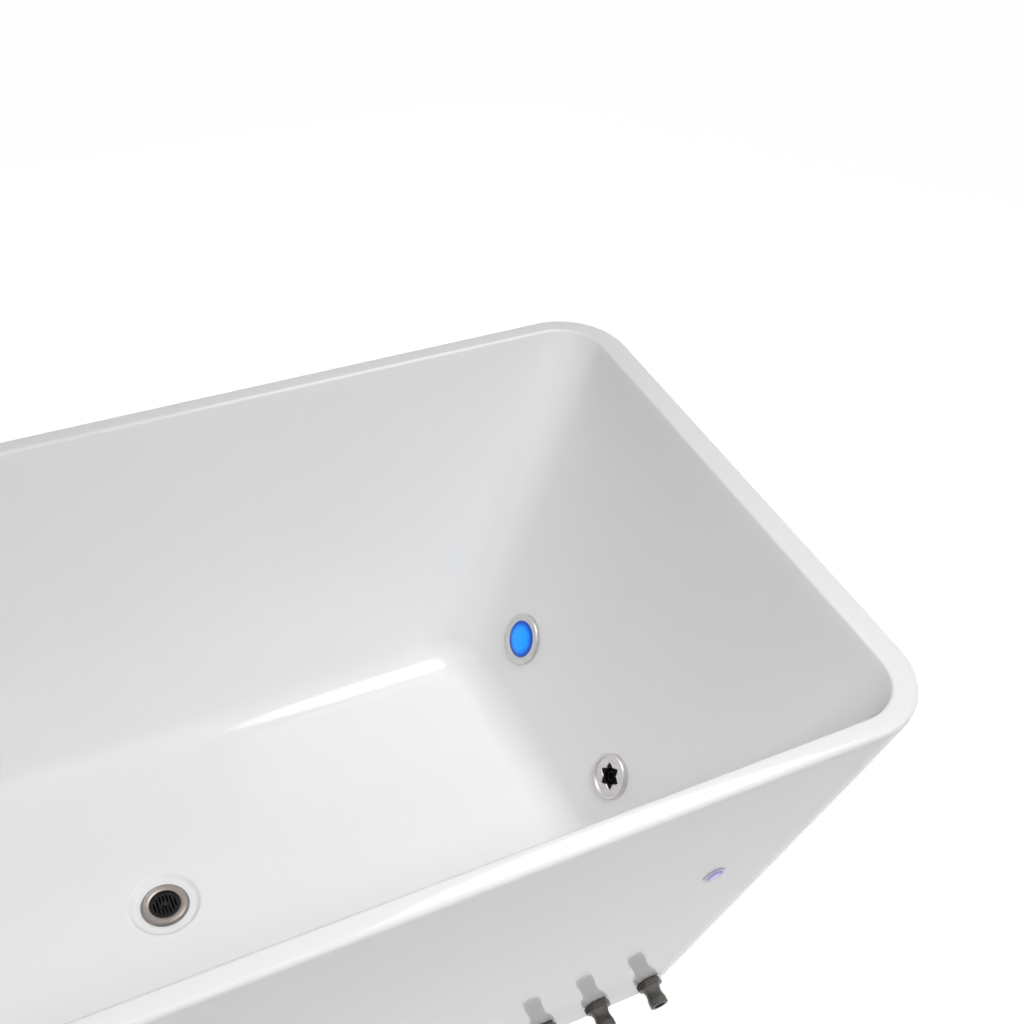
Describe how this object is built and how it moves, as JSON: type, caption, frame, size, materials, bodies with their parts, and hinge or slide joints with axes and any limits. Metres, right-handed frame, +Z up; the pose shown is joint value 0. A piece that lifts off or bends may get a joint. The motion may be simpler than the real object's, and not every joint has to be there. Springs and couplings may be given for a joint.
{
  "type": "cold plunge tub",
  "caption": "Freestanding rounded-rectangle cold plunge tub with tapered walls, end jet, underwater lamp, floor drain, hose adapters on the side and levelling feet.",
  "frame": {"origin": "on the floor under the middle of the tub, with the feet screwed right in", "axes": "+X along the tub towards the jet and the lamp, +Y towards the wall without adapters, +Z up"},
  "size_m": [1.56, 0.8, 0.58],
  "materials": {
    "gelcoat": "gloss white acrylic and gelcoat",
    "resin": "cured bonding resin",
    "plywood": "raw plywood",
    "foam": "closed-cell insulation foam",
    "frame_steel": "satin black paint",
    "zinc_steel": "zinc plated",
    "foot_rubber": "hard black rubber",
    "drain_metal": "satin brushed",
    "black_plastic": "moulded black",
    "seal_rubber": "soft seal",
    "white_plastic": "moulded white",
    "jet_metal": "satin",
    "light_trim": "satin",
    "lens_blue": "blue tinted, lit",
    "housing_grey": "moulded pale grey",
    "circuit": "green board",
    "port_metal": "dark machined steel",
    "hose_grey": "ribless grey hose",
    "clamp_steel": "bright band",
    "lead_black": "black cable jacket",
    "button_metal": "polished ring",
    "button_lit": "lit violet-blue cap"
  },
  "bodies": {
    "tub": {"inner_basin": "gelcoat", "outer_skirt": "gelcoat", "rim_bond_strip": "resin", "floor_board": "plywood", "foam_front": "foam", "foam_back": "foam", "foam_left": "foam", "foam_right": "foam", "frame_rail_front": "frame_steel", "frame_rail_back": "frame_steel", "frame_cross_1": "frame_steel", "frame_cross_2": "frame_steel", "frame_cross_3": "frame_steel", "frame_cross_4": "frame_steel", "frame_screws": "zinc_steel", "skirt_brackets": "zinc_steel", "foot_inserts": "zinc_steel", "foot_lock_nuts": "zinc_steel", "drain_flange": "drain_metal", "button_switch": "black_plastic", "light_driver": "black_plastic", "drain_gaskets": "seal_rubber", "jet_gasket": "seal_rubber", "light_gasket": "seal_rubber", "port_gaskets": "seal_rubber", "drain_nut": "white_plastic", "drain_tee": "white_plastic", "jet_body": "white_plastic", "jet_nut": "white_plastic", "light_nut": "white_plastic", "button_nut": "white_plastic", "light_bezel": "light_trim", "light_lens": "lens_blue", "light_housing": "housing_grey", "light_board": "circuit", "port_drain": "port_metal", "port_suction": "port_metal", "port_return": "port_metal", "port_nuts": "port_metal", "hose_suction": "hose_grey", "hose_drain": "hose_grey", "hose_return": "hose_grey", "hose_clamps": "clamp_steel", "light_lead": "lead_black", "button_lead": "lead_black", "button_body": "button_metal"},
    "strainer": {"drain_strainer": "black_plastic"},
    "jet_front": {"jet_face": "jet_metal", "jet_barrel": "black_plastic"},
    "jet_ball": {"jet_nozzle": "black_plastic"},
    "light_button": {"button_cap": "button_lit"},
    "pad_1": {"foot_pad_1": "foot_rubber"},
    "stud_1": {"foot_stud_1": "zinc_steel"},
    "pad_2": {"foot_pad_2": "foot_rubber"},
    "stud_2": {"foot_stud_2": "zinc_steel"},
    "pad_3": {"foot_pad_3": "foot_rubber"},
    "stud_3": {"foot_stud_3": "zinc_steel"},
    "pad_4": {"foot_pad_4": "foot_rubber"},
    "stud_4": {"foot_stud_4": "zinc_steel"}
  },
  "joints": [
    {"name": "strainer_lift", "type": "slide", "parent": "tub", "child": "strainer", "axis": [0, 0, 1], "range_m": [0, 0.06]},
    {"name": "jet_face_turn", "type": "hinge", "parent": "tub", "child": "jet_front", "pos_m": [0.5733, -0.111, 0.218], "axis": [-0.9006, 0, 0.4346], "range_deg": [0, 90]},
    {"name": "jet_ball_tilt", "type": "hinge", "parent": "jet_front", "child": "jet_ball", "pos_m": [0.5823, -0.111, 0.21365], "axis": [0, 1, 0], "range_deg": [-12, 12]},
    {"name": "light_button_press", "type": "slide", "parent": "tub", "child": "light_button", "axis": [0, 0.9852, 0.1715], "range_m": [0, 0.0025], "stiffness_N_per_m": 500},
    {"name": "pad_1_travel", "type": "slide", "parent": "tub", "child": "pad_1", "axis": [0, 0, -1], "range_m": [0, 0.01487]},
    {"name": "stud_1_turn", "type": "hinge", "parent": "pad_1", "child": "stud_1", "pos_m": [0.505, -0.205, 0.04], "axis": [0, 0, -1], "range_deg": [0, 3060]},
    {"name": "pad_2_travel", "type": "slide", "parent": "tub", "child": "pad_2", "axis": [0, 0, -1], "range_m": [0, 0.01487]},
    {"name": "stud_2_turn", "type": "hinge", "parent": "pad_2", "child": "stud_2", "pos_m": [0.505, 0.205, 0.04], "axis": [0, 0, -1], "range_deg": [0, 3060]},
    {"name": "pad_3_travel", "type": "slide", "parent": "tub", "child": "pad_3", "axis": [0, 0, -1], "range_m": [0, 0.01487]},
    {"name": "stud_3_turn", "type": "hinge", "parent": "pad_3", "child": "stud_3", "pos_m": [-0.505, 0.205, 0.04], "axis": [0, 0, -1], "range_deg": [0, 3060]},
    {"name": "pad_4_travel", "type": "slide", "parent": "tub", "child": "pad_4", "axis": [0, 0, -1], "range_m": [0, 0.01487]},
    {"name": "stud_4_turn", "type": "hinge", "parent": "pad_4", "child": "stud_4", "pos_m": [-0.505, -0.205, 0.04], "axis": [0, 0, -1], "range_deg": [0, 3060]}
  ],
  "couplings": [
    {"joint": "stud_1_turn", "follows": "pad_1_travel", "rad_per_m": 3590.4},
    {"joint": "stud_2_turn", "follows": "pad_2_travel", "rad_per_m": 3590.4},
    {"joint": "stud_3_turn", "follows": "pad_3_travel", "rad_per_m": 3590.4},
    {"joint": "stud_4_turn", "follows": "pad_4_travel", "rad_per_m": 3590.4}
  ]
}
